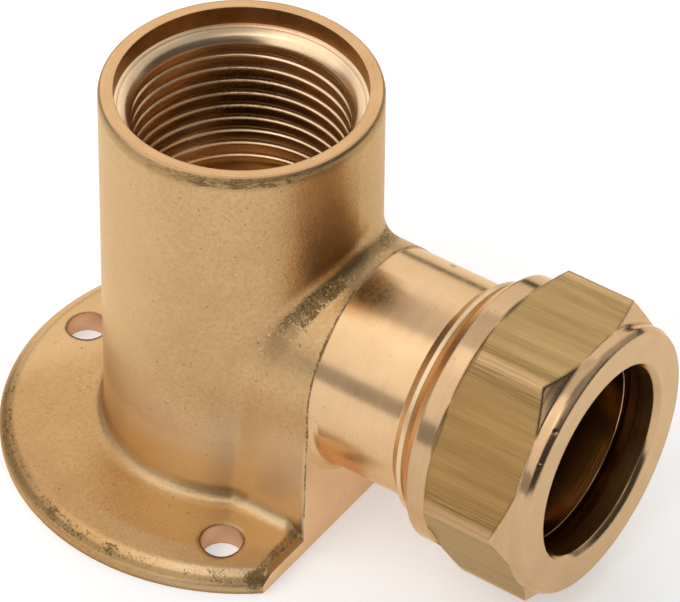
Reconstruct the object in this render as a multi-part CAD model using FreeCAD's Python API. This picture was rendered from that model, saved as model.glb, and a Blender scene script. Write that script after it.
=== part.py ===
import FreeCAD, Part
import math
import os

from FreeCAD import Vector

# Wall plate elbow, in millimetres. The wall lies at z = 0, the threaded boss stands along +Z,
# and the pipe arm leaves along +X. Origin: middle of the flange's back face, on the boss axis.

# Wall flange, a forged disc with sloping edges and one side faced flat square to the arm
flange_radius = 28.0
flange_thickness = 2.9
flange_crease_radius = 26.3
flange_crease_height = 2.35
flange_rim_height = 1.1
faced_side_x = 18.2
side_edge_height = 1.85
side_edge_angle = 35.0

# Screw holes through the flange
screw_circle_diameter = 45.0
screw_hole_radius = 2.4
screw_hole_count = 3
first_screw_angle = 60.0

# Upright boss, tapered a little for the forging die
boss_height = 49.7
boss_top_radius = 15.65
boss_foot_radius = 15.95
boss_edge_round = 0.6
foot_fillet = 1.6
crease_fillet = 3.0

# Female pipe thread in the boss, drawn at its pitch diameter, and the coned lead-in above it
mouth_recess_radius = 13.95
mouth_recess_depth = 2.3
lead_in_depth = 0.7
female_thread_radius = 12.64
female_thread_length = 18.0
waterway_radius = 8.5
drill_point_angle = 60.0

# Arm: forged housing, turned neck, run-out collar and male thread drawn at its core diameter
arm_axis_height = 20.2
housing_radius = 12.9
housing_side_draft = 1.8
neck_radius = 12.8
neck_root_round = 1.2
neck_length = 11.2
run_out_collar_radius = 13.95
run_out_collar_width = 0.55
male_core_radius = 13.1
male_thread_length = 6.2

# Pipe socket for a 22 mm pipe, and the cone at the arm's mouth that takes the ring
socket_radius = 11.12
socket_stop_x = 18.6
seat_half_angle = 30.0
mouth_wall = 0.5

# Compression ring
ring_length = 7.2
ring_barrel_radius = 12.55
ring_end_radius = 12.09
seat_clearance = 0.1

# Compression nut
nut_across_flats = 31.0
nut_turn_at_rest = -2.3
nut_land_radius = 15.8
nut_bore_radius = 11.2
nut_bore_bevel = 0.6
nut_lip_length = 2.6
nut_rear_chamfer = 1.1
rear_land_width = 2.4
hexagon_length = 10.7
front_land_width = 1.2
front_edge_width = 0.7
front_edge_drop = 0.4
hexagon_chamfer_angle = 30.0
nut_mouth_bevel = 0.95
thread_running_clearance = 0.05

# Places that follow from the sizes above
boss_slope = (boss_foot_radius - boss_top_radius) / (boss_height - boss_edge_round)
draft_angle = math.radians(housing_side_draft)
housing_foot_y = (housing_radius + arm_axis_height * math.sin(draft_angle)) / math.cos(draft_angle)
seat_slope = math.tan(math.radians(seat_half_angle))
seat_radial_clearance = seat_clearance / math.cos(math.radians(seat_half_angle))
collar_rise = run_out_collar_radius - neck_radius
collar_start_x = faced_side_x + neck_length + collar_rise
male_thread_start_x = collar_start_x + run_out_collar_width
arm_end_x = male_thread_start_x + male_thread_length
arm_mouth_radius = male_core_radius - mouth_wall
seat_start_x = arm_end_x - (arm_mouth_radius - socket_radius) / seat_slope
ring_rear_x = seat_start_x + (ring_end_radius + seat_radial_clearance - socket_radius) / seat_slope
ring_front_x = ring_rear_x + ring_length
nut_bore_end_x = ring_front_x + (ring_end_radius + seat_radial_clearance - nut_bore_radius) / seat_slope
nut_front_x = nut_bore_end_x + nut_lip_length
front_land_end_x = nut_front_x - front_edge_width
hexagon_end_x = front_land_end_x - front_land_width
hexagon_start_x = hexagon_end_x - hexagon_length
rear_land_start_x = hexagon_start_x - rear_land_width
nut_rear_x = rear_land_start_x - nut_rear_chamfer
nut_thread_radius = male_core_radius + thread_running_clearance
mouth_floor_z = boss_height - mouth_recess_depth
female_thread_end_z = mouth_floor_z - female_thread_length

arm_axis_point = Vector(0, 0, arm_axis_height)

# Cutting room past a face, flats in a small round, and how near counts as in line
overrun = 2.0
round_steps = 3
along_axis = 0.9


def turned_upright(profile):
    """Solid turned about the boss axis from (radius, height) points."""
    corners = [Vector(radius, 0, height) for radius, height in profile]
    wire = Part.makePolygon(corners + corners[:1])
    return Part.Face(wire).revolve(Vector(0, 0, 0), Vector(0, 0, 1), 360)


def turned_on_arm(profile):
    """Solid turned about the arm axis from (x, radius) points."""
    corners = [Vector(x, 0, arm_axis_height + radius) for x, radius in profile]
    wire = Part.makePolygon(corners + corners[:1])
    return Part.Face(wire).revolve(arm_axis_point, Vector(1, 0, 0), 360)


def small_round(centre, radius, start_angle, end_angle):
    """Points along a small round, shared out evenly between its two angles in degrees."""
    points = []
    for step in range(round_steps + 1):
        angle = math.radians(start_angle + (end_angle - start_angle) * step / round_steps)
        points.append((centre[0] + radius * math.cos(angle), centre[1] + radius * math.sin(angle)))
    return points


def boss_blank():
    """Tapered post whose top outer edge is rounded over."""
    crown_centre = (boss_top_radius - boss_edge_round, boss_height - boss_edge_round)
    crown = small_round(crown_centre, boss_edge_round, 0, 90)
    return turned_upright([(0, 0), (boss_foot_radius, 0)] + crown + [(0, boss_height)])


def housing_prism(start_x, end_x):
    """U-shaped forging round the arm: half round on top, sides drafted out to the wall."""
    side_y = housing_radius * math.cos(draft_angle)
    side_z = arm_axis_height + housing_radius * math.sin(draft_angle)
    left = Vector(start_x, -side_y, side_z)
    right = Vector(start_x, side_y, side_z)
    crest = Vector(start_x, 0, arm_axis_height + housing_radius)
    left_foot = Vector(start_x, -housing_foot_y, 0)
    right_foot = Vector(start_x, housing_foot_y, 0)
    edges = [
        Part.Arc(left, crest, right).toShape(),
        Part.makeLine(right, right_foot),
        Part.makeLine(right_foot, left_foot),
        Part.makeLine(left_foot, left),
    ]
    return Part.Face(Part.Wire(edges)).extrude(Vector(end_x - start_x, 0, 0))


def forging_group(face):
    """Which part of the forging a face belongs to: boss, housing or neither."""
    surface = face.Surface
    if isinstance(surface, Part.Cone):
        return "boss"
    if isinstance(surface, Part.Cylinder):
        return "housing"
    if isinstance(surface, Part.Plane) and abs(surface.Axis.y) > along_axis:
        return "housing"
    return "other"


def crease_edges(solid):
    """Edges where the boss and the arm housing meet."""
    found = []
    for edge in solid.Edges:
        groups = {forging_group(face) for face in solid.ancestorsOfType(edge, Part.Face)}
        if groups == {"boss", "housing"}:
            found.append(edge)
    return found


def flange_plate():
    """Round plate whose top falls away to a crease and then to the rim."""
    flat_radius = math.hypot(faced_side_x, housing_foot_y + foot_fillet)
    return turned_upright([
        (0, 0),
        (flange_radius, 0),
        (flange_radius, flange_rim_height),
        (flange_crease_radius, flange_crease_height),
        (flat_radius, flange_thickness),
        (0, flange_thickness),
    ])


def foot_rounds():
    """Hollow rounds along the foot of the boss and along the housing's two sides."""
    top_z = flange_thickness + foot_fillet
    buried_z = flange_thickness / 2
    boss_radius = boss_foot_radius - top_z * boss_slope
    hollow = small_round((boss_radius + foot_fillet, top_z), foot_fillet, 180, 270)
    buried = [(boss_radius + foot_fillet, buried_z), (boss_radius - overrun, buried_z)]
    rounds = [turned_upright(hollow + buried + [(boss_radius - overrun, top_z)])]
    side_y = housing_foot_y - top_z * math.tan(draft_angle)
    hollow = small_round((side_y + foot_fillet, top_z), foot_fillet, 180, 270)
    buried = [(side_y + foot_fillet, buried_z), (side_y - overrun, buried_z)]
    profile = hollow + buried + [(side_y - overrun, top_z)]
    for side in (-1, 1):
        corners = [Vector(0, side * y, z) for y, z in profile]
        face = Part.Face(Part.makePolygon(corners + corners[:1]))
        rounds.append(face.extrude(Vector(faced_side_x, 0, 0)))
    return rounds


def side_edge_waste():
    """Wedge that leaves the flange sloping down to its faced side."""
    slope = math.tan(math.radians(side_edge_angle))
    top_z = flange_thickness + foot_fillet + overrun
    outer_x = faced_side_x + overrun
    corners = [
        Vector(outer_x, -flange_radius, side_edge_height - overrun * slope),
        Vector(outer_x, -flange_radius, top_z),
        Vector(faced_side_x - (top_z - side_edge_height) / slope, -flange_radius, top_z),
    ]
    wedge = Part.Face(Part.makePolygon(corners + corners[:1]))
    return wedge.extrude(Vector(0, 2 * flange_radius, 0))


def forged_blank():
    """Flange, boss and arm housing in one forging, with rounded inside corners."""
    housing_end_x = faced_side_x + 2 * crease_fillet
    post = boss_blank().fuse(housing_prism(0, housing_end_x)).removeSplitter()
    post = post.makeFillet(crease_fillet, crease_edges(post))
    base = flange_plate().fuse(foot_rounds()).cut(side_edge_waste())
    beyond = Part.makeBox(flange_radius, 2 * flange_radius, boss_height + 2 * overrun)
    beyond.translate(Vector(faced_side_x, -flange_radius, -overrun))
    return post.fuse(base).cut(beyond)


def turned_arm():
    """Neck, run-out collar and thread core, with a rounded root over the faced side."""
    inner_x = faced_side_x - overrun
    neck_end_x = faced_side_x + neck_length
    core_drop = run_out_collar_radius - male_core_radius
    arm = turned_on_arm([
        (inner_x, 0),
        (inner_x, neck_radius),
        (neck_end_x, neck_radius),
        (collar_start_x, run_out_collar_radius),
        (male_thread_start_x, run_out_collar_radius),
        (male_thread_start_x + core_drop / 2, male_core_radius),
        (arm_end_x, male_core_radius),
        (arm_end_x, 0),
    ])
    root_centre = (faced_side_x + neck_root_round, neck_radius + neck_root_round)
    hollow = small_round(root_centre, neck_root_round, 180, 270)
    buried_radius = neck_radius - overrun
    root = turned_on_arm(hollow + [(root_centre[0], buried_radius), (faced_side_x, buried_radius)])
    root_reach = neck_root_round + overrun
    root = root.common(housing_prism(faced_side_x, faced_side_x + root_reach))
    below_axis = Part.makeBox(root_reach, 2 * flange_radius, arm_axis_height)
    below_axis.translate(Vector(faced_side_x, -flange_radius, 0))
    return arm.fuse(root.common(below_axis))


def boss_bore():
    """Mouth recess, coned lead-in, thread bore and waterway down to the arm's axis."""
    return turned_upright([
        (0, boss_height + overrun),
        (mouth_recess_radius, boss_height + overrun),
        (mouth_recess_radius, mouth_floor_z),
        (female_thread_radius, mouth_floor_z - lead_in_depth),
        (female_thread_radius, female_thread_end_z),
        (waterway_radius, female_thread_end_z),
        (waterway_radius, arm_axis_height),
        (0, arm_axis_height),
    ])


def arm_bore():
    """Pipe socket, its stop, the waterway and the cone at the arm's mouth."""
    point_drop = waterway_radius / math.tan(math.radians(drill_point_angle))
    cone_reach = arm_mouth_radius + overrun * seat_slope
    return turned_on_arm([
        (-point_drop, 0),
        (0, waterway_radius),
        (socket_stop_x, waterway_radius),
        (socket_stop_x, socket_radius),
        (seat_start_x, socket_radius),
        (arm_end_x + overrun, cone_reach),
        (arm_end_x + overrun, 0),
    ])


def screw_holes():
    """Plain holes for wall screws, evenly spaced on their circle."""
    holes = []
    for number in range(screw_hole_count):
        angle = math.radians(first_screw_angle + number * 360.0 / screw_hole_count)
        reach = screw_circle_diameter / 2
        centre = Vector(reach * math.cos(angle), reach * math.sin(angle), -overrun)
        holes.append(Part.makeCylinder(screw_hole_radius, flange_thickness + 2 * overrun, centre))
    return holes


def elbow_body():
    """The whole brass body, forged and then machined."""
    body = forged_blank().fuse(turned_arm())
    return body.cut([boss_bore(), arm_bore()] + screw_holes()).removeSplitter()


def compression_ring():
    """Barrel-shaped ring, tapered at both ends to sit in the two cones."""
    taper = (ring_barrel_radius - ring_end_radius) / seat_slope
    return turned_on_arm([
        (ring_rear_x, socket_radius),
        (ring_rear_x, ring_end_radius),
        (ring_rear_x + taper, ring_barrel_radius),
        (ring_front_x - taper, ring_barrel_radius),
        (ring_front_x, ring_end_radius),
        (ring_front_x, socket_radius),
    ])


def hexagon_bar():
    """Chamfered hexagon between the nut's two turned lands."""
    corner_radius = nut_across_flats / math.sqrt(3)
    corners = []
    for number in range(6):
        angle = math.radians(nut_turn_at_rest + number * 60.0)
        offset = Vector(0, corner_radius * math.cos(angle), corner_radius * math.sin(angle))
        corners.append(Vector(hexagon_start_x, 0, arm_axis_height) + offset)
    bar = Part.Face(Part.makePolygon(corners + corners[:1])).extrude(Vector(hexagon_length, 0, 0))
    chamfer_width = (corner_radius - nut_land_radius) * math.tan(math.radians(hexagon_chamfer_angle))
    limit = turned_on_arm([
        (hexagon_start_x, 0),
        (hexagon_start_x, nut_land_radius),
        (hexagon_start_x + chamfer_width, corner_radius),
        (hexagon_end_x - chamfer_width, corner_radius),
        (hexagon_end_x, nut_land_radius),
        (hexagon_end_x, 0),
    ])
    return bar.common(limit)


def compression_nut():
    """Hexagon nut with a turned land at each end, a thread bore and a cone over the ring."""
    lands = [
        turned_on_arm([
            (nut_rear_x, 0),
            (nut_rear_x, nut_land_radius - nut_rear_chamfer),
            (rear_land_start_x, nut_land_radius),
            (hexagon_start_x, nut_land_radius),
            (hexagon_start_x, 0),
        ]),
        turned_on_arm([
            (hexagon_end_x, 0),
            (hexagon_end_x, nut_land_radius),
            (front_land_end_x, nut_land_radius),
            (nut_front_x, nut_land_radius - front_edge_drop),
            (nut_front_x, 0),
        ]),
    ]
    cone_end_x = nut_bore_end_x - (nut_thread_radius - nut_bore_radius) / seat_slope
    bore = turned_on_arm([
        (nut_rear_x - overrun, 0),
        (nut_rear_x - overrun, nut_thread_radius + nut_mouth_bevel + overrun),
        (nut_rear_x + nut_mouth_bevel, nut_thread_radius),
        (cone_end_x, nut_thread_radius),
        (nut_bore_end_x, nut_bore_radius),
        (nut_front_x - nut_bore_bevel, nut_bore_radius),
        (nut_front_x + overrun, nut_bore_radius + nut_bore_bevel + overrun),
        (nut_front_x + overrun, 0),
    ])
    return hexagon_bar().fuse(lands).cut(bore).removeSplitter()


os.makedirs("parts", exist_ok=True)
elbow_body().exportStep("parts/elbow_body.step")
compression_ring().exportStep("parts/compression_ring.step")
compression_nut().exportStep("parts/compression_nut.step")
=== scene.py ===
import math

import bpy
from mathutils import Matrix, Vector


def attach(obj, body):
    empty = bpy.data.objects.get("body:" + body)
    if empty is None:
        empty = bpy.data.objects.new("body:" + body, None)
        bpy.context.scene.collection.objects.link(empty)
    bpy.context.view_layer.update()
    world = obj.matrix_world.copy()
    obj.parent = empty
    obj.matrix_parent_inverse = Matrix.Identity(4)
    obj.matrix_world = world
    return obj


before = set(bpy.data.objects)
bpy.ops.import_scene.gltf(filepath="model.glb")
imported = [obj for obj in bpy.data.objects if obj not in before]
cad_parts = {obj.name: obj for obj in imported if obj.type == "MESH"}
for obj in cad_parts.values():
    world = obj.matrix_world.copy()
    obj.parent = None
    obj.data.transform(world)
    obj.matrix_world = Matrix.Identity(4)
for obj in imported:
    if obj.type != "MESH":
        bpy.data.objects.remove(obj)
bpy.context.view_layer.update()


# Elbow body: one hot brass forging of wall flange, threaded boss and arm housing.
# The skin is matte and finely pitted from the die, with dark oxide left along its creases;
# the boss mouth, the arm and one side of the flange are machined bright afterwards.
mm = 0.001
boss_height = 49.7
boss_radius = 15.75
recess_radius = 13.95
mouth_floor = 47.4
thread_floor = 29.4
waterway_reach = 8.6
waterway_bottom = 5.0
faced_side = 18.2
arm_height = 20.2
housing_radius = 12.9
arm_mouth_radius = 12.61
collar_start = 29.42
screw_circle = 22.5
screw_hole = 2.4
screw_centres = []
for angle in (60, 180, 300):
    turn = math.radians(angle)
    screw_centres.append((screw_circle * math.cos(turn), screw_circle * math.sin(turn)))
# Bearing of the left side, which is painted lighter.
lit_left = 214.4
# Bearing of the front, where painted shade and pits lie.
shade_and_wear_front = -55.6
# Bearing of the flange's back, which gets a painted highlight.
lit_back = 150.0


def new_finish(name):
    """Empty metal material: its node tree, its shader and its object coordinates."""
    material = bpy.data.materials.new(name)
    material.use_nodes = True
    tree = material.node_tree
    shader = tree.nodes["Principled BSDF"]
    shader.inputs["Metallic"].default_value = 1.0
    shader.inputs["Specular Tint"].default_value = (0.97, 0.84, 0.66, 1.0)
    place = tree.nodes.new("ShaderNodeTexCoord").outputs["Object"]
    return material, tree, shader, place


def wire(tree, socket, value):
    """Feed a socket from another socket, or set it to a plain value."""
    if isinstance(value, bpy.types.NodeSocket):
        tree.links.new(value, socket)
    else:
        socket.default_value = value


def reckon(tree, operation, first, second=0.0, third=0.0):
    """One step of arithmetic on the surface."""
    step = tree.nodes.new("ShaderNodeMath")
    step.operation = operation
    wire(tree, step.inputs[0], first)
    wire(tree, step.inputs[1], second)
    wire(tree, step.inputs[2], third)
    return step.outputs[0]


def ease(tree, value, low, high):
    """Smooth 0 to 1 as the value goes from low to high."""
    step = tree.nodes.new("ShaderNodeMapRange")
    step.interpolation_type = "SMOOTHSTEP"
    wire(tree, step.inputs["Value"], value)
    step.inputs["From Min"].default_value = low
    step.inputs["From Max"].default_value = high
    return step.outputs["Result"]


def fade(tree, distance, low, high):
    """Smooth 0 to 1 as a distance goes from low to high, in millimetres."""
    return ease(tree, distance, low * mm, high * mm)


def axes(tree, place):
    """The three object coordinates as separate sockets."""
    split = tree.nodes.new("ShaderNodeSeparateXYZ")
    tree.links.new(place, split.inputs[0])
    return split.outputs[0], split.outputs[1], split.outputs[2]


def stretch(tree, place, scale):
    """Coordinates drawn out along an axis, for streaks."""
    step = tree.nodes.new("ShaderNodeMapping")
    tree.links.new(place, step.inputs["Vector"])
    step.inputs["Scale"].default_value = scale
    return step.outputs[0]


def speckle(tree, place, size, detail=2.0, roughness=0.5):
    """Soft random patches about as wide as size, in millimetres."""
    step = tree.nodes.new("ShaderNodeTexNoise")
    tree.links.new(place, step.inputs["Vector"])
    step.inputs["Scale"].default_value = 1.0 / (size * mm)
    step.inputs["Detail"].default_value = detail
    step.inputs["Roughness"].default_value = roughness
    return step.outputs["Fac"]


def lines(tree, distance, size, detail=2.0):
    """Random lines about as wide as size, that follow one distance only."""
    step = tree.nodes.new("ShaderNodeTexNoise")
    step.noise_dimensions = "1D"
    tree.links.new(distance, step.inputs["W"])
    step.inputs["Scale"].default_value = 1.0 / (size * mm)
    step.inputs["Detail"].default_value = detail
    return step.outputs["Fac"]


def tones(tree, value, stops):
    """Colours along a value: (position, (red, green, blue)) stops."""
    step = tree.nodes.new("ShaderNodeValToRGB")
    wire(tree, step.inputs[0], value)
    ramp = step.color_ramp.elements
    while len(ramp) < len(stops):
        ramp.new(0.5)
    for element, (position, colour) in zip(ramp, stops):
        element.position = position
        element.color = (*colour, 1.0)
    return step.outputs["Color"]


def over(tree, share, under_colour, over_colour, how="MIX"):
    """One colour laid over another."""
    step = tree.nodes.new("ShaderNodeMix")
    step.data_type = "RGBA"
    step.blend_type = how
    wire(tree, step.inputs["Factor"], share)
    for socket, colour in ((step.inputs[6], under_colour), (step.inputs[7], over_colour)):
        if isinstance(colour, bpy.types.NodeSocket):
            tree.links.new(colour, socket)
        else:
            socket.default_value = (*colour, 1.0)
    return step.outputs[2]


def relief(tree, height, depth, below=None):
    """Bump of a given depth in millimetres, laid on an earlier bump if there is one."""
    step = tree.nodes.new("ShaderNodeBump")
    step.inputs["Distance"].default_value = depth * mm
    step.inputs["Strength"].default_value = 1.0
    tree.links.new(height, step.inputs["Height"])
    if below is not None:
        tree.links.new(below, step.inputs["Normal"])
    return step.outputs["Normal"]


def span(tree, first, second):
    """Length of the hypotenuse over two distances."""
    square = reckon(tree, "MULTIPLY", first, first)
    return reckon(tree, "SQRT", reckon(tree, "MULTIPLY_ADD", second, second, square))


def times(tree, first, *others):
    """Product of several shares."""
    for other in others:
        first = reckon(tree, "MULTIPLY", first, other)
    return first


def most(tree, first, *others):
    """Largest of several shares."""
    for other in others:
        first = reckon(tree, "MAXIMUM", first, other)
    return first


def toward(tree, x, y, compass):
    """Distance out from the boss axis towards a compass angle, in degrees from the arm."""
    turn = math.radians(compass)
    return reckon(tree, "MULTIPLY_ADD", x, math.cos(turn), times(tree, y, math.sin(turn)))


def off_boss_wall(tree, x, y):
    """Distance outside the boss's wall."""
    return reckon(tree, "SUBTRACT", span(tree, x, y), boss_radius * mm)


def off_arm_axis(tree, y, z):
    """Distance from the arm's axis."""
    return span(tree, y, reckon(tree, "SUBTRACT", z, arm_height * mm))


def band(tree, value, low, high, soft):
    """Share that is 1 between two distances and fades out over a soft edge, in millimetres."""
    rise = fade(tree, value, low - soft, low)
    fall = fade(tree, value, high + soft, high)
    return times(tree, rise, fall)


def near(tree, place, point, reach):
    """Share that fades out over a distance from one point, in millimetres."""
    step = tree.nodes.new("ShaderNodeVectorMath")
    step.operation = "DISTANCE"
    tree.links.new(place, step.inputs[0])
    step.inputs[1].default_value = Vector(point) * mm
    full_within = 0.3 * reach
    return fade(tree, step.outputs["Value"], reach, full_within)


def flecks(tree, share, grain):
    """Irregular flecks that thin out towards the border of a patch."""
    lack = reckon(tree, "SUBTRACT", share, 1.0)
    thinned = reckon(tree, "MULTIPLY_ADD", lack, 0.4, grain)
    return ease(tree, thinned, 0.44, 0.60)


def soft_edges(tree, radius):
    """Normals that run smoothly over the edges, as on a worn or forged corner."""
    step = tree.nodes.new("ShaderNodeBevel")
    step.samples = 8
    step.inputs["Radius"].default_value = radius * mm
    return step.outputs["Normal"]


def forged_tan(tree, place, dust):
    """Mottled tan of the skin, with painted highlights on the foot, the left side, the housing and the
    flange's back, and painted shade on the flange's front.
    """
    dark_grain = (0.47, 0.285, 0.12)
    pale_grain = (0.68, 0.46, 0.25)
    brown_dust = (0.48, 0.285, 0.115)
    foot_painted_light = (0.755, 0.585, 0.385)
    left_painted_light = (0.68, 0.47, 0.26)
    low_left_painted_light = (0.79, 0.67, 0.45)
    housing_painted_light = (0.76, 0.58, 0.37)
    flange_tint = (1.0, 0.91, 0.82)
    flange_shade_olive = (0.65, 0.50, 0.305)
    flange_highlight_gold = (0.77, 0.50, 0.256)
    x, y, z = axes(tree, place)

    # Soft blotches from the die, broken up by fine dark and pale grains.
    blotches = speckle(tree, place, 9.0, 3.0)
    colour = tones(tree, blotches, [
        (0.30, (0.520, 0.330, 0.156)),
        (0.50, (0.572, 0.367, 0.178)),
        (0.70, (0.606, 0.396, 0.199)),
    ])
    grains = speckle(tree, place, 0.55, 3.0, 0.75)
    colour = over(tree, times(tree, ease(tree, grains, 0.44, 0.68), 0.55), colour, dark_grain)
    colour = over(tree, times(tree, ease(tree, grains, 0.42, 0.26), 0.5), colour, pale_grain)
    colour = over(tree, times(tree, ease(tree, dust, 0.50, 0.70), 0.6), colour, brown_dust)

    # Painted highlights: the boss and the housing are paler in places, where light falls on them.
    foot = times(tree, band(tree, z, 5.5, 9.0, 9.0), fade(tree, z, 3.0, 4.6), 0.70)
    colour = over(tree, foot, colour, foot_painted_light)
    leftward = toward(tree, x, y, lit_left)
    left = times(tree, fade(tree, leftward, 6.0, 15.5), fade(tree, z, 12.0, 20.0), 0.6)
    colour = over(tree, left, colour, left_painted_light)
    low_left = times(tree, fade(tree, leftward, 1.0, 12.0), band(tree, z, 5.2, 10.0, 1.8), 0.5)
    colour = over(tree, low_left, colour, low_left_painted_light)
    housing = times(tree, fade(tree, x, 9.0, 13.0), band(tree, z, 5.0, 14.0, 5.0), 0.35)
    colour = over(tree, housing, colour, housing_painted_light)

    # The flange is a little redder, with painted shade at the front and a painted highlight at the back.
    on_flange = fade(tree, z, 3.6, 3.0)
    colour = over(tree, on_flange, colour, flange_tint, "MULTIPLY")
    front_shade = times(tree, on_flange, fade(tree, leftward, 16.0, 5.0), 0.5)
    colour = over(tree, front_shade, colour, flange_shade_olive)
    backward = toward(tree, x, y, lit_back)
    back_highlight = times(tree, on_flange, fade(tree, backward, 12.0, 18.0), 0.6)
    return over(tree, back_highlight, colour, flange_highlight_gold)


def flange_marks(tree, place, grain):
    """Trim groove round the rim and crease along the faced side: their painted shade and their oxide."""
    lip_radii = (26.5, 27.3)
    pit_radii = (26.7, 27.6)
    groove_radii = (27.3, 27.55)
    slope_reach = (16.8, 18.3)
    crease_reach = (16.8, 17.4)
    corner_radius = 27.5
    corner_x = 17.2
    corner_y = -math.sqrt(corner_radius ** 2 - corner_x ** 2)
    corner_height = 1.5
    x, y, z = axes(tree, place)
    across = span(tree, x, y)
    bearing = reckon(tree, "ARCTAN2", y, x)
    low = fade(tree, z, 4.0, 2.7)
    shade_and_wear_side = fade(tree, toward(tree, x, y, shade_and_wear_front), -14.0, -2.0)

    # Painted shade: a dark line at the trim groove, a darker lip and rim wall, and a darker side slope.
    groove = times(tree, band(tree, across, *groove_radii, 0.4), low, shade_and_wear_side)
    lip = times(tree, fade(tree, across, *lip_radii), low, shade_and_wear_side)
    side_slope = times(tree, band(tree, x, *slope_reach, 0.4), low, 0.30)
    shade = most(tree, times(tree, groove, 0.85), times(tree, lip, 0.22), side_slope)

    left_rim = ease(tree, bearing, -1.95, -2.35)
    right_rim = ease(tree, bearing, -1.55, -1.30)
    density = reckon(tree, "MULTIPLY_ADD", right_rim, -0.16, 0.90)
    density = reckon(tree, "MULTIPLY_ADD", left_rim, 0.14, density)
    pitted = times(tree, band(tree, across, *pit_radii, 0.7), low, shade_and_wear_side, density)
    creased = times(tree, band(tree, x, *crease_reach, 0.5), low)
    corner = near(tree, place, (corner_x, corner_y, corner_height), 2.2)
    thick_grain = reckon(tree, "ADD", grain, 0.06)
    oxide = most(
        tree,
        flecks(tree, pitted, grain),
        flecks(tree, creased, grain),
        flecks(tree, corner, thick_grain))
    return shade, oxide


def crease_marks(tree, place, grain):
    """Crease between boss and housing: its painted shade, its dark oxide and its painted glints."""
    x, y, z = axes(tree, place)
    off_housing = reckon(tree, "SUBTRACT", off_arm_axis(tree, y, z), housing_radius * mm)
    by_boss = band(tree, off_boss_wall(tree, x, y), 0.4, 1.7, 0.6)
    by_housing = band(tree, off_housing, -0.2, 0.9, 0.5)
    arm_side = fade(tree, x, 3.0, 7.0)
    off_top = fade(tree, reckon(tree, "ABSOLUTE", y), 0.5, 4.5)
    upper = times(tree, fade(tree, z, 22.0, 31.0), reckon(tree, "MULTIPLY_ADD", off_top, 0.6, 0.4))
    shade_and_dirt = times(tree, by_boss, by_housing, arm_side, upper)
    # Painted shade darkens the crease, and painted glints light up spots in it; the flecks are oxide.
    shade = times(tree, shade_and_dirt, 0.55)
    oxide = times(tree, flecks(tree, shade_and_dirt, grain), 0.9)
    glint_spots = ease(tree, speckle(tree, place, 0.42, 2.0, 0.7), 0.60, 0.66)
    return shade, oxide, times(tree, shade_and_dirt, glint_spots)


def mouth_marks(tree, place, clumps):
    """Under the boss's turned rim: painted shade, and dark oxide in scuffs there."""
    x, y, z = axes(tree, place)
    front = toward(tree, x, y, shade_and_wear_front)
    by_wall = fade(tree, off_boss_wall(tree, x, y), -1.6, -0.8)
    under_rim = times(tree, band(tree, z, boss_height - 1.0, boss_height - 0.1, 0.9), by_wall)
    # Painted shade under the rim, strongest towards the front.
    shade = times(tree, under_rim, fade(tree, front, -14.0, 0.0), 0.50)
    scuffs = speckle(tree, stretch(tree, place, (0.45, 0.45, 1.5)), 0.30, 4.0, 0.75)
    scuffs = reckon(tree, "MULTIPLY_ADD", clumps, 0.35, times(tree, scuffs, 0.65))
    facing = fade(tree, front, 6.0, 15.6)
    return shade, flecks(tree, times(tree, under_rim, facing), scuffs)


def foot_marks(tree, place):
    """Shade in the round at the boss's foot, beside the housing."""
    x, y, z = axes(tree, place)
    bearing = reckon(tree, "ARCTAN2", y, x)
    by_wall = fade(tree, off_boss_wall(tree, x, y), 1.6, 1.0)
    beside_housing = times(tree, ease(tree, bearing, -1.55, -1.25), ease(tree, bearing, -0.70, -0.85))
    return times(tree, band(tree, z, 3.6, 4.3, 0.8), by_wall, beside_housing, 0.5)


def neck_seam(tree, place, grain):
    """Oxide along the seam where the lathe stopped against the housing."""
    x, y, z = axes(tree, place)
    at_seam = times(tree, fade(tree, x, faced_side - 0.6, faced_side - 0.08), band(tree, z, 6.0, 32.0, 2.5))
    return flecks(tree, at_seam, reckon(tree, "ADD", grain, 0.05))


def hole_marks(tree, place, grain):
    """Ragged dark edge round each screw hole."""
    x, y, z = axes(tree, place)
    edge = 0.0
    for centre_x, centre_y in screw_centres:
        off_x = reckon(tree, "SUBTRACT", x, centre_x * mm)
        off_y = reckon(tree, "SUBTRACT", y, centre_y * mm)
        ragged = reckon(tree, "MULTIPLY_ADD", grain, 0.5 * mm, span(tree, off_x, off_y))
        edge = most(tree, band(tree, ragged, screw_hole, screw_hole + 0.36, 0.12), edge)
    return times(tree, edge, 0.75)


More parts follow.
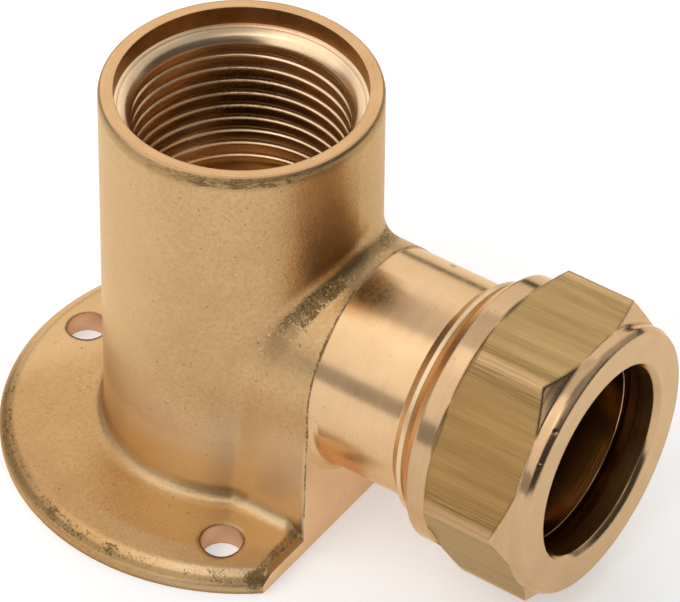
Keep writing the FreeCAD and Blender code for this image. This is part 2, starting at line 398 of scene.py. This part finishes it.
def forged_skin():
    """Matte die-forged brass: mottled tan, fine pits, dark oxide in the creases, with painted shade and
    painted highlights.
    """
    shade_brown = (0.26, 0.165, 0.07)
    oxide_brown = (0.145, 0.088, 0.032)
    glint_gold = (0.84, 0.61, 0.37)
    material, tree, shader, place = new_finish("forged_skin")
    dust = speckle(tree, place, 0.30, 3.0, 0.6)
    clumps = speckle(tree, place, 2.2, 2.0)
    fine = speckle(tree, place, 0.32, 3.0, 0.7)
    grain = reckon(tree, "MULTIPLY_ADD", clumps, 0.4, times(tree, fine, 0.6))

    flange_shade, flange_oxide = flange_marks(tree, place, grain)
    crease_shade, crease_oxide, glints = crease_marks(tree, place, grain)
    mouth_shade, mouth_oxide = mouth_marks(tree, place, clumps)
    foot_shade = foot_marks(tree, place)
    hole_shade = hole_marks(tree, place, grain)
    seam_oxide = neck_seam(tree, place, grain)
    stray = times(tree, ease(tree, speckle(tree, place, 0.6, 2.0, 0.7), 0.67, 0.75), 0.50)
    shade = most(tree, flange_shade, crease_shade, mouth_shade, foot_shade, hole_shade)
    oxide = most(tree, flange_oxide, crease_oxide, mouth_oxide, seam_oxide, stray)

    colour = forged_tan(tree, place, dust)
    colour = over(tree, shade, colour, shade_brown)
    colour = over(tree, times(tree, oxide, 0.80), colour, oxide_brown)
    # Painted glints in the crease.
    colour = over(tree, times(tree, glints, 0.8), colour, glint_gold)
    tree.links.new(colour, shader.inputs["Base Color"])
    rough = reckon(tree, "MULTIPLY_ADD", dust, 0.14, 0.25)
    tree.links.new(reckon(tree, "MULTIPLY_ADD", oxide, 0.2, rough), shader.inputs["Roughness"])
    waves = relief(tree, speckle(tree, place, 5.0, 1.0), 0.07, soft_edges(tree, 1.0))
    skin = relief(tree, dust, 0.036, waves)
    pits = relief(tree, reckon(tree, "SUBTRACT", 1.0, oxide), 0.05, skin)
    tree.links.new(pits, shader.inputs["Normal"])
    return material


def turned_brass(name, pale, deep, rough, centre_height, marks=0.006, smear=0.0, edge=0.25, nicks=(),
                 shade_patches=()):
    """Bright turned brass: fine lathe lines round the arm's axis or, at height 0, the boss axis."""
    scuff_brown = (0.22, 0.12, 0.05)
    nick_black = (0.10, 0.055, 0.02)
    patch_shade_brown = (0.34, 0.235, 0.11)
    speck_brown = (0.19, 0.12, 0.05)
    material, tree, shader, place = new_finish(name)
    x, y, z = axes(tree, place)
    if centre_height:
        reach = span(tree, y, reckon(tree, "SUBTRACT", z, centre_height * mm))
        feed = reckon(tree, "ADD", x, reach)
    else:
        feed = reckon(tree, "ADD", z, span(tree, x, y))
    cut = lines(tree, feed, 0.22, 3.0)
    coarse = lines(tree, feed, 1.6, 2.0)
    stain = speckle(tree, place, 4.0, 3.0)
    share = reckon(tree, "MULTIPLY_ADD", cut, 0.30, times(tree, stain, 0.70))
    colour = tones(tree, share, [(0.30, deep), (0.65, pale)])
    scuffs = ease(tree, speckle(tree, place, 0.7, 3.0, 0.7), 0.66, 0.74)
    colour = over(tree, times(tree, scuffs, 0.5), colour, scuff_brown)
    surface = relief(tree, cut, marks, soft_edges(tree, edge))
    for point in nicks:
        nick = near(tree, place, point, 0.5)
        colour = over(tree, times(tree, nick, 0.8), colour, nick_black)
        surface = relief(tree, reckon(tree, "SUBTRACT", 1.0, nick), 0.1, surface)
    # Painted shade: darker patches with dark specks, where shade falls.
    for point, reach in shade_patches:
        shade_patch = near(tree, place, point, reach)
        colour = over(tree, times(tree, shade_patch, 0.45), colour, patch_shade_brown)
        specks = flecks(tree, shade_patch, speckle(tree, place, 0.4, 3.0, 0.7))
        colour = over(tree, times(tree, specks, 0.5), colour, speck_brown)
    tree.links.new(colour, shader.inputs["Base Color"])
    tree.links.new(reckon(tree, "MULTIPLY_ADD", coarse, 0.12, rough - 0.06), shader.inputs["Roughness"])
    tree.links.new(surface, shader.inputs["Normal"])
    if smear:
        along = tree.nodes.new("ShaderNodeTangent")
        along.direction_type = "RADIAL"
        along.axis = "X" if centre_height else "Z"
        tree.links.new(along.outputs[0], shader.inputs["Tangent"])
        shader.inputs["Anisotropic"].default_value = smear
        shader.inputs["Anisotropic Rotation"].default_value = 0.25
    return material


def shaded_bore_brass(name, pale, deep):
    """Drilled brass inside the ways, dull, with its colour painted dark for the shade in there."""
    material, tree, shader, place = new_finish(name)
    stain = speckle(tree, place, 3.0, 4.0)
    colour = tones(tree, stain, [(0.3, deep), (0.7, pale)])
    tree.links.new(colour, shader.inputs["Base Color"])
    tree.links.new(reckon(tree, "MULTIPLY_ADD", stain, 0.2, 0.25), shader.inputs["Roughness"])
    tree.links.new(relief(tree, speckle(tree, place, 0.4), 0.02), shader.inputs["Normal"])
    return material


def dress(piece, finishes, finish_of):
    """Give a piece its named finishes, and each face the one that finish_of names."""
    piece.data.materials.clear()
    for finish in finishes.values():
        piece.data.materials.append(finish)
    names = list(finishes)
    for face in piece.data.polygons:
        face.material_index = names.index(finish_of(face))


neck_nick = (23.46, 7.09, 30.85)
# Painted shade on the neck beside the boss.
neck_shade = ((19.8, -3.1, 32.62), 4.0)
body_finishes = {
    "skin": forged_skin(),
    "arm": turned_brass("turned_arm", (0.755, 0.50, 0.28), (0.68, 0.437, 0.228), 0.22, arm_height,
                        smear=0.75, nicks=[neck_nick], shade_patches=[neck_shade]),
    "faced side": turned_brass("faced_side", (0.85, 0.59, 0.37), (0.77, 0.51, 0.305), 0.34, arm_height,
                               marks=0.012),
    "mouth": turned_brass("turned_mouth", (0.71, 0.432, 0.22), (0.61, 0.36, 0.175), 0.30, 0),
    # Painted shade: the drilled ways and the recess wall are coloured dark for the shade inside them.
    "bore": shaded_bore_brass("shaded_drilled_bore", (0.36, 0.21, 0.09), (0.24, 0.13, 0.05)),
    "screw hole": turned_brass("drilled_hole", (0.74, 0.45, 0.28), (0.58, 0.33, 0.18), 0.35, 0),
    "recess wall": shaded_bore_brass("shaded_recess_wall", (0.62, 0.37, 0.17), (0.46, 0.25, 0.10)),
    "collar": turned_brass("turned_collar", (0.82, 0.60, 0.38), (0.73, 0.51, 0.30), 0.36, arm_height),
}


def body_finish(face):
    """Which finish a face of the body has, from where it lies and which way it points."""
    slack = 0.1
    hair = 0.05
    rim_bevel = 0.7
    x, y, z = face.center / mm
    reach = math.hypot(x, y)
    arm_reach = math.hypot(y, z - arm_height)
    for centre_x, centre_y in screw_centres:
        hole_reach = math.hypot(x - centre_x, y - centre_y)
        if hole_reach < screw_hole + slack and abs(face.normal.z) < 0.5:
            return "screw hole"
    if x > faced_side + hair and arm_reach < arm_mouth_radius - slack:
        return "bore"
    if x > collar_start:
        return "collar"
    if x > faced_side + hair:
        return "arm"
    if abs(x - faced_side) < hair and face.normal.x > 0.9:
        return "faced side"
    if abs(reach - recess_radius) < hair and z > mouth_floor + slack and abs(face.normal.z) < 0.3:
        return "recess wall"
    if reach < recess_radius + hair and thread_floor - slack < z < boss_height - slack:
        return "bore"
    if z > boss_height - rim_bevel and face.normal.z > 0.9:
        return "mouth"
    if z > waterway_bottom and (reach < waterway_reach or arm_reach < waterway_reach and x > 0):
        return "bore"
    return "skin"


dress(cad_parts["elbow_body"], body_finishes, body_finish)


# Female pipe thread cut in the boss: ridges that stand inside the bore, with a coned lead-in.
# Same metal as the body, cut bright by the tap; it is part of the body and never moves.
female_pitch = 1.814
female_crest = 12.06
female_root = 12.60
female_turns = 11
first_crest = 45.35
thread_top = 46.0
crest_round = 0.26
crest_points = 5
root_flat = 0.10
flank_tilt = 27.5
steps_round = 120
full_turn = math.radians(360)


def start_profile(name, corners):
    """Object whose mesh is one open line through the given corners, drawn point by point."""
    bpy.ops.object.select_all(action="DESELECT")
    bpy.ops.mesh.primitive_plane_add(size=mm, location=(0, 0, 0))
    piece = bpy.context.object
    piece.name = name
    bpy.ops.object.mode_set(mode="EDIT")
    bpy.ops.mesh.select_all(action="SELECT")
    bpy.ops.mesh.merge(type="CENTER")
    bpy.ops.transform.translate(value=Vector(corners[0]) * mm)
    for start, end in zip(corners, corners[1:]):
        step = (Vector(end) - Vector(start)) * mm
        bpy.ops.mesh.extrude_region_move(TRANSFORM_OT_translate={"value": step})
    bpy.ops.object.mode_set(mode="OBJECT")
    return piece


def close_seams():
    """Merge the doubled points of the piece in edit mode and turn its faces one way."""
    bpy.ops.mesh.select_all(action="SELECT")
    bpy.ops.mesh.remove_doubles(threshold=0.001 * mm)
    bpy.ops.mesh.normals_make_consistent(inside=False)


def wind(piece, axis, pitch, turns):
    """Wind the profile line along a helix and close its seams."""
    bpy.context.view_layer.objects.active = piece
    screw = piece.modifiers.new("winding", "SCREW")
    screw.axis = axis
    screw.angle = full_turn
    screw.screw_offset = pitch * mm
    screw.iterations = turns
    screw.steps = steps_round
    screw.render_steps = steps_round
    screw.use_merge_vertices = True
    bpy.ops.object.modifier_apply(modifier=screw.name)
    bpy.ops.object.mode_set(mode="EDIT")
    close_seams()
    bpy.ops.object.mode_set(mode="OBJECT")


def trim(piece, point, normal):
    """Cut away what lies beyond a plane, on the side its normal points to."""
    bpy.context.view_layer.objects.active = piece
    bpy.ops.object.mode_set(mode="EDIT")
    bpy.ops.mesh.select_all(action="SELECT")
    bpy.ops.mesh.bisect(plane_co=Vector(point) * mm, plane_no=normal, clear_outer=True)
    bpy.ops.object.mode_set(mode="OBJECT")


def pick(piece):
    """Make one piece the only one selected."""
    bpy.ops.object.select_all(action="DESELECT")
    piece.select_set(True)
    bpy.context.view_layer.objects.active = piece


def crest_arc(centre_height, start, end):
    """Corners round a thread crest, between two angles in degrees."""
    corners = []
    for step in range(crest_points):
        angle = math.radians(start + (end - start) * step / (crest_points - 1))
        reach = female_crest + crest_round + crest_round * math.cos(angle)
        corners.append((reach, 0, centre_height + crest_round * math.sin(angle)))
    return corners


tilt = math.radians(flank_tilt)
thread_depth = female_root - female_crest
arc_rise = crest_round * math.cos(tilt)
arc_reach = crest_round * (1 - math.sin(tilt))
flank_rise = (thread_depth - arc_reach) * math.tan(tilt)
lowest = first_crest + arc_rise + flank_rise - (female_turns - 1) * female_pitch
lower_corner = lowest + root_flat + thread_depth * math.tan(tilt)
upper_round = lowest + female_pitch - flank_rise - arc_rise
female_thread = start_profile(
    "female_thread",
    [(female_root, 0, lowest), (female_root, 0, lowest + root_flat), (female_crest, 0, lower_corner)]
    + crest_arc(upper_round, 180, 90 + flank_tilt)
    + [(female_root, 0, lowest + female_pitch)])
wind(female_thread, "Z", female_pitch, female_turns)
trim(female_thread, (0, 0, thread_top), (0, 0, 1))
trim(female_thread, (0, 0, thread_floor), (0, 0, -1))

crest_skirt = [(female_crest, 0, 45.90), (female_crest, 0, thread_top)]
cone = [(female_crest + 0.04, 0, 46.12), (12.62, 0, 46.80)]
ledge_inside = (12.72, 0, 46.90)
tool_mark = [(13.50, 0, 47.28), (13.56, 0, 47.21), (13.62, 0, 47.32)]
ledge_outside = (13.94, 0, 47.46)
lead_in = start_profile("thread_lead_in", [*crest_skirt, *cone, ledge_inside, *tool_mark, ledge_outside])
bpy.ops.object.mode_set(mode="EDIT")
bpy.ops.mesh.select_all(action="SELECT")
bpy.ops.mesh.spin(steps=steps_round, angle=full_turn, center=(0, 0, 0), axis=(0, 0, 1))
close_seams()
bpy.ops.object.mode_set(mode="OBJECT")

# Painted shade over the middle of the far thread wall.
thread_shade_middle = ((-7.1, 10.1, 39.0), 9.0)
thread_finish = turned_brass("cut_thread", (0.95, 0.70, 0.45), (0.84, 0.59, 0.36), 0.27, 0,
                             shade_patches=[thread_shade_middle])
for piece in (female_thread, lead_in):
    pick(piece)
    bpy.ops.object.shade_smooth_by_angle(angle=math.radians(30))
    piece.data.materials.append(thread_finish)
    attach(piece, "body")


# Male thread on the arm: ridges on the turned core, which the nut runs on.
# Cut from the same brass as the body; at rest the nut covers all but its run-out.
male_pitch = 1.5
male_turns = 6
male_root = 13.08
male_crest = 13.92
male_root_flat = 0.12
male_flank_end = 0.64
male_start = 31.1
run_out = 0.2
arm_end = 37.3
end_bevel = 0.3
turn_before = male_start - male_pitch
male_thread = start_profile("male_thread", [
    (turn_before, 0, male_root),
    (turn_before + male_root_flat, 0, male_root),
    (turn_before + male_flank_end, 0, male_crest),
    (male_start - male_flank_end, 0, male_crest),
    (male_start - male_root_flat, 0, male_root),
    (male_start, 0, male_root),
])
wind(male_thread, "X", male_pitch, male_turns)
trim(male_thread, (male_start + run_out, 0, 0), (-1, 0, 0))
trim(male_thread, (arm_end - end_bevel, 0, 0), (1, 0, 0))
pick(male_thread)
male_thread.location = (0, 0, arm_height * mm)
bpy.ops.object.transform_apply(location=True, rotation=False, scale=False)
bpy.ops.object.shade_smooth_by_angle(angle=math.radians(25))
male_thread.data.materials.append(
    turned_brass("cut_male_thread", (0.76, 0.50, 0.26), (0.58, 0.36, 0.17), 0.22, arm_height))
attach(male_thread, "body")


# Compression ring: a soft brass ring, turned to a barrel, that the nut squeezes on to the pipe.
# It lies loose between the arm's mouth and the nut's cone.
ring_shaded_end = 43.8
# The ring's outer end is painted dark, for the shade under the nut's lip.
ring_finishes = {
    "barrel": turned_brass("turned_ring", (0.82, 0.56, 0.28), (0.66, 0.42, 0.19), 0.18, arm_height),
    "end": shaded_bore_brass("ring_shaded_end", (0.16, 0.09, 0.035), (0.09, 0.05, 0.02)),
}


def ring_finish(face):
    """Painted dark shade on the end that faces out of the nut, bright on the rest."""
    return "end" if face.center.x > ring_shaded_end * mm else "barrel"


dress(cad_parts["compression_ring"], ring_finishes, ring_finish)


# Compression nut: turned from drawn hexagon bar, screwed on the arm by its inner thread.
# The flats keep the bar's drawn streaks; the lands, the chamfers and the front are turned.
hexagon_start = 35.558
hexagon_end = 46.258
corner_inside = 17.95
edge_nicks = [(47.95, -10.0, 32.5), (47.95, -12.8, 29.6)]


def drawn_bar():
    """Satin drawn brass: fine streaks along the bar, a little olive, with painted warm and cool reflections
    on the front and lower flats, a darker band inside the corners, and wear with a painted highlight on the
    corners.
    """
    stain_olive = (0.42, 0.265, 0.11)
    front_reflection_tint = (1.0, 0.86, 0.68)
    under_reflection_tint = (0.80, 0.93, 0.98)
    corner_band_brown = (0.20, 0.12, 0.045)
    worn_highlight_gold = (0.72, 0.47, 0.26)
    material, tree, shader, place = new_finish("drawn_bar")
    x, y, z = axes(tree, place)
    off_arm = off_arm_axis(tree, y, z)
    streaks = speckle(tree, stretch(tree, place, (0.02, 1.0, 1.0)), 0.14, 3.0, 0.6)
    broad = speckle(tree, stretch(tree, place, (0.04, 1.0, 1.0)), 1.5, 2.0)
    stain = speckle(tree, place, 5.0, 3.0)
    share = reckon(tree, "MULTIPLY_ADD", streaks, 0.45, times(tree, broad, 0.55))
    colour = tones(tree, share, [
        (0.32, (0.315, 0.195, 0.073)),
        (0.50, (0.445, 0.285, 0.119)),
        (0.68, (0.535, 0.354, 0.161)),
    ])
    colour = over(tree, times(tree, ease(tree, stain, 0.45, 0.75), 0.6), colour, stain_olive)
    # Painted reflections: the front flats warmer, the lower front ones cooler.
    side = fade(tree, y, -4.0, -13.0)
    colour = over(tree, times(tree, side, 0.7), colour, front_reflection_tint, "MULTIPLY")
    under = fade(tree, z, arm_height + 0.2, arm_height - 0.4)
    colour = over(tree, times(tree, under, side), colour, under_reflection_tint, "MULTIPLY")
    # A darker band just inside the corners, then wear and a painted highlight on the corners themselves.
    corner_dark_band = times(tree, band(tree, off_arm, 16.9, 17.2, 0.3), ease(tree, streaks, 0.62, 0.40), 0.5)
    colour = over(tree, corner_dark_band, colour, corner_band_brown)
    rubbed_and_lit = times(tree, fade(tree, off_arm, 17.2, 17.7), ease(tree, streaks, 0.30, 0.55), 0.6)
    colour = over(tree, rubbed_and_lit, colour, worn_highlight_gold)
    tree.links.new(colour, shader.inputs["Base Color"])
    tree.links.new(reckon(tree, "MULTIPLY_ADD", streaks, 0.2, 0.24), shader.inputs["Roughness"])
    tree.links.new(relief(tree, streaks, 0.012, soft_edges(tree, 0.6)), shader.inputs["Normal"])
    return material


nut_finishes = {
    "bar": drawn_bar(),
    "lands": turned_brass("turned_lands", (0.60, 0.395, 0.22), (0.53, 0.337, 0.182), 0.15, arm_height,
                          edge=0.5, nicks=edge_nicks),
    "bore": turned_brass("nut_bore", (0.62, 0.39, 0.18), (0.42, 0.25, 0.105), 0.30, arm_height),
    "rear chamfer": turned_brass("rear_chamfer", (0.86, 0.59, 0.36), (0.76, 0.49, 0.27), 0.36, arm_height),
    "front": turned_brass("faced_front", (0.635, 0.435, 0.26), (0.57, 0.385, 0.222), 0.22, arm_height,
                          edge=0.5, nicks=edge_nicks),
}


def nut_finish(face):
    """Bar finish on the six flats, dull in the bore, turned everywhere else."""
    rear_land = 1.0
    x, y, z = face.center / mm
    reach = math.hypot(y, z - arm_height)
    outward = (face.normal.y * y + face.normal.z * (z - arm_height)) / reach
    if outward < -0.3 and face.normal.x < 0.3:
        return "bore"
    if face.normal.x < -0.3 and x < hexagon_start - rear_land:
        return "rear chamfer"
    if face.normal.x > 0.95:
        return "front"
    if abs(face.normal.x) < 0.05 and reach < corner_inside and hexagon_start < x < hexagon_end:
        return "bar"
    return "lands"


dress(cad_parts["compression_nut"], nut_finishes, nut_finish)


# Studio: a pale matte floor that melts into the background, and grey walls drawn in the world.
# Three soft lights shine on the elbow, and the camera looks down at it from beside the arm.
bpy.ops.object.select_all(action="DESELECT")
bpy.ops.mesh.primitive_plane_add(size=4.0, location=(0, 0, -0.02 * mm))
floor = bpy.context.object
floor.name = "studio_floor"
floor_finish = bpy.data.materials.new("pale_floor")
floor_finish.use_nodes = True
floor_shader = floor_finish.node_tree.nodes["Principled BSDF"]
floor_shader.inputs["Base Color"].default_value = (0.88, 0.88, 0.88, 1.0)
floor_shader.inputs["Emission Color"].default_value = (1.0, 1.0, 1.0, 1.0)
floor_shader.inputs["Emission Strength"].default_value = 0.38
floor_shader.inputs["Roughness"].default_value = 0.9
floor_shader.inputs["Specular IOR Level"].default_value = 0.0
floor.data.materials.append(floor_finish)

world = bpy.data.worlds.new("studio")
bpy.context.scene.world = world
world.use_nodes = True
sky = world.node_tree
aim = sky.nodes.new("ShaderNodeTexCoord").outputs["Generated"]
right, away, height = axes(sky, aim)


def grey_wall(stops):
    """Grey of a wall from low to high: (position, brightness) stops."""
    return tones(sky, height, [(position, (bright, bright, bright)) for position, bright in stops])


open_side = grey_wall([
    (0.00, 0.42), (0.20, 0.46), (0.45, 0.62), (0.75, 0.66), (0.88, 0.95), (0.94, 0.95), (1.00, 0.34)])
back_side = grey_wall([(0.00, 0.06), (0.10, 0.08), (0.16, 0.50), (0.75, 0.62), (0.88, 0.90), (1.00, 0.34)])
dim_side = grey_wall([(0.00, 0.06), (0.62, 0.09), (0.80, 0.45), (1.00, 0.34)])
behind = ease(sky, reckon(sky, "MULTIPLY_ADD", right, -0.68, away), 0.3, 0.8)
bearing = reckon(sky, "ARCTAN2", away, right)
beside_arm = times(sky, ease(sky, bearing, -1.40, -1.30), ease(sky, bearing, 1.1, 0.7))
room = over(sky, behind, open_side, back_side)
sky.links.new(over(sky, beside_arm, room, dim_side), sky.nodes["Background"].inputs["Color"])

elbow_middle = Vector((0.015, 0, 0.02))
light_distance = 1.0


def soft_light(name, azimuth, elevation, width, length, power):
    """Soft light aimed at the elbow, placed by compass angle and height angle."""
    around = math.radians(azimuth)
    above = math.radians(elevation)
    level = math.cos(above)
    outward = Vector((math.cos(around) * level, math.sin(around) * level, math.sin(above)))
    bpy.ops.object.light_add(type="AREA", location=outward * light_distance + elbow_middle)
    light = bpy.context.object
    light.name = name
    light.data.shape = "RECTANGLE"
    light.data.size = width
    light.data.size_y = length
    light.data.energy = power
    light.rotation_euler = outward.to_track_quat("Z", "Y").to_euler()


soft_light("key", azimuth=-118, elevation=45, width=1.5, length=1.1, power=3.3)
soft_light("back", azimuth=128, elevation=31, width=1.7, length=0.80, power=2.5)
soft_light("fill", azimuth=-65, elevation=62, width=0.7, length=0.4, power=0.60)

camera_place = (0.228122, -0.313650, 0.366692)
camera_turn = [math.radians(angle) for angle in (48.09145, -0.67279, 35.00481)]
bpy.ops.object.camera_add(location=camera_place, rotation=camera_turn)
camera = bpy.context.object
camera.data.sensor_width = 36.0
camera.data.lens = 244.596
camera.data.clip_start = 0.01
bpy.context.scene.camera = camera
bpy.context.scene.view_settings.view_transform = "Standard"
